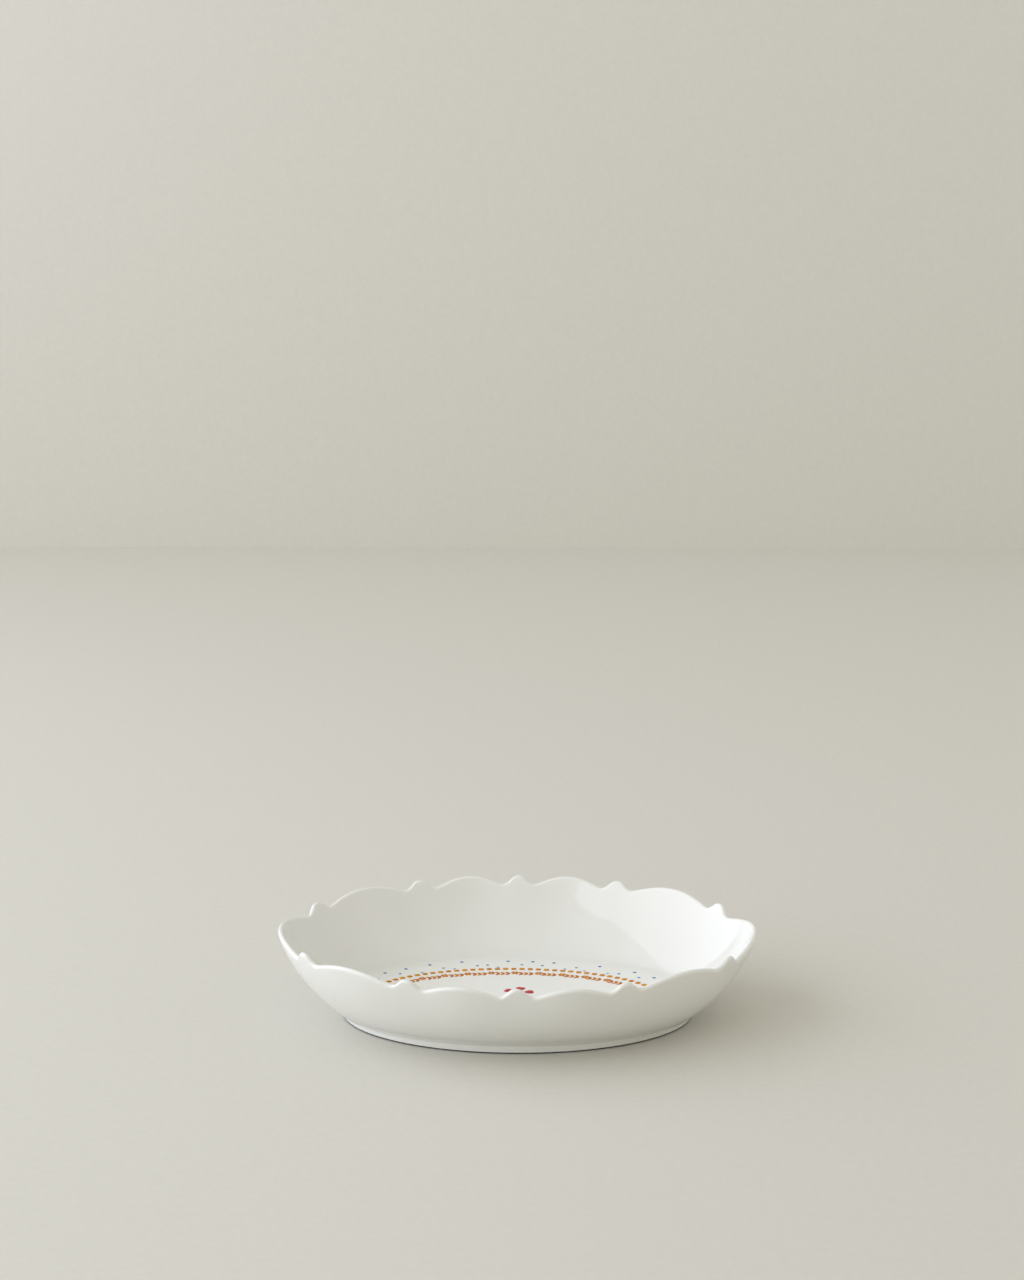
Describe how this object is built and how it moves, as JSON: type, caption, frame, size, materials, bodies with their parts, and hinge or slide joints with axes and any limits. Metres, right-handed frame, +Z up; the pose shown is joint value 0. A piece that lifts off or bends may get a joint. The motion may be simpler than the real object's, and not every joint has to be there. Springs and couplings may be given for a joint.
{
  "type": "oval serving plate",
  "caption": "Deep oval porcelain serving plate with a flared wall, a scalloped rim with small knobs, a standing ring and a printed border in its well.",
  "frame": {"origin": "middle of the surface that the plate stands on", "axes": "+X along the oval, +Y across it, +Z up"},
  "size_m": [0.2388, 0.1708, 0.0451],
  "materials": {
    "glazed_porcelain": "glossy warm white glaze",
    "foot_porcelain": "glazed sides, bare ground base",
    "blue_print": "fired print, small blue dots",
    "orange_print": "fired print, orange dashes",
    "rust_print": "fired print, rust leaves",
    "red_print": "fired print, red flower"
  },
  "bodies": {
    "root": {"plate_body": "glazed_porcelain", "foot_ring": "foot_porcelain", "dot_border": "blue_print", "stitch_border": "orange_print", "leaf_garland": "rust_print", "centre_blossom": "red_print"}
  },
  "joints": []
}
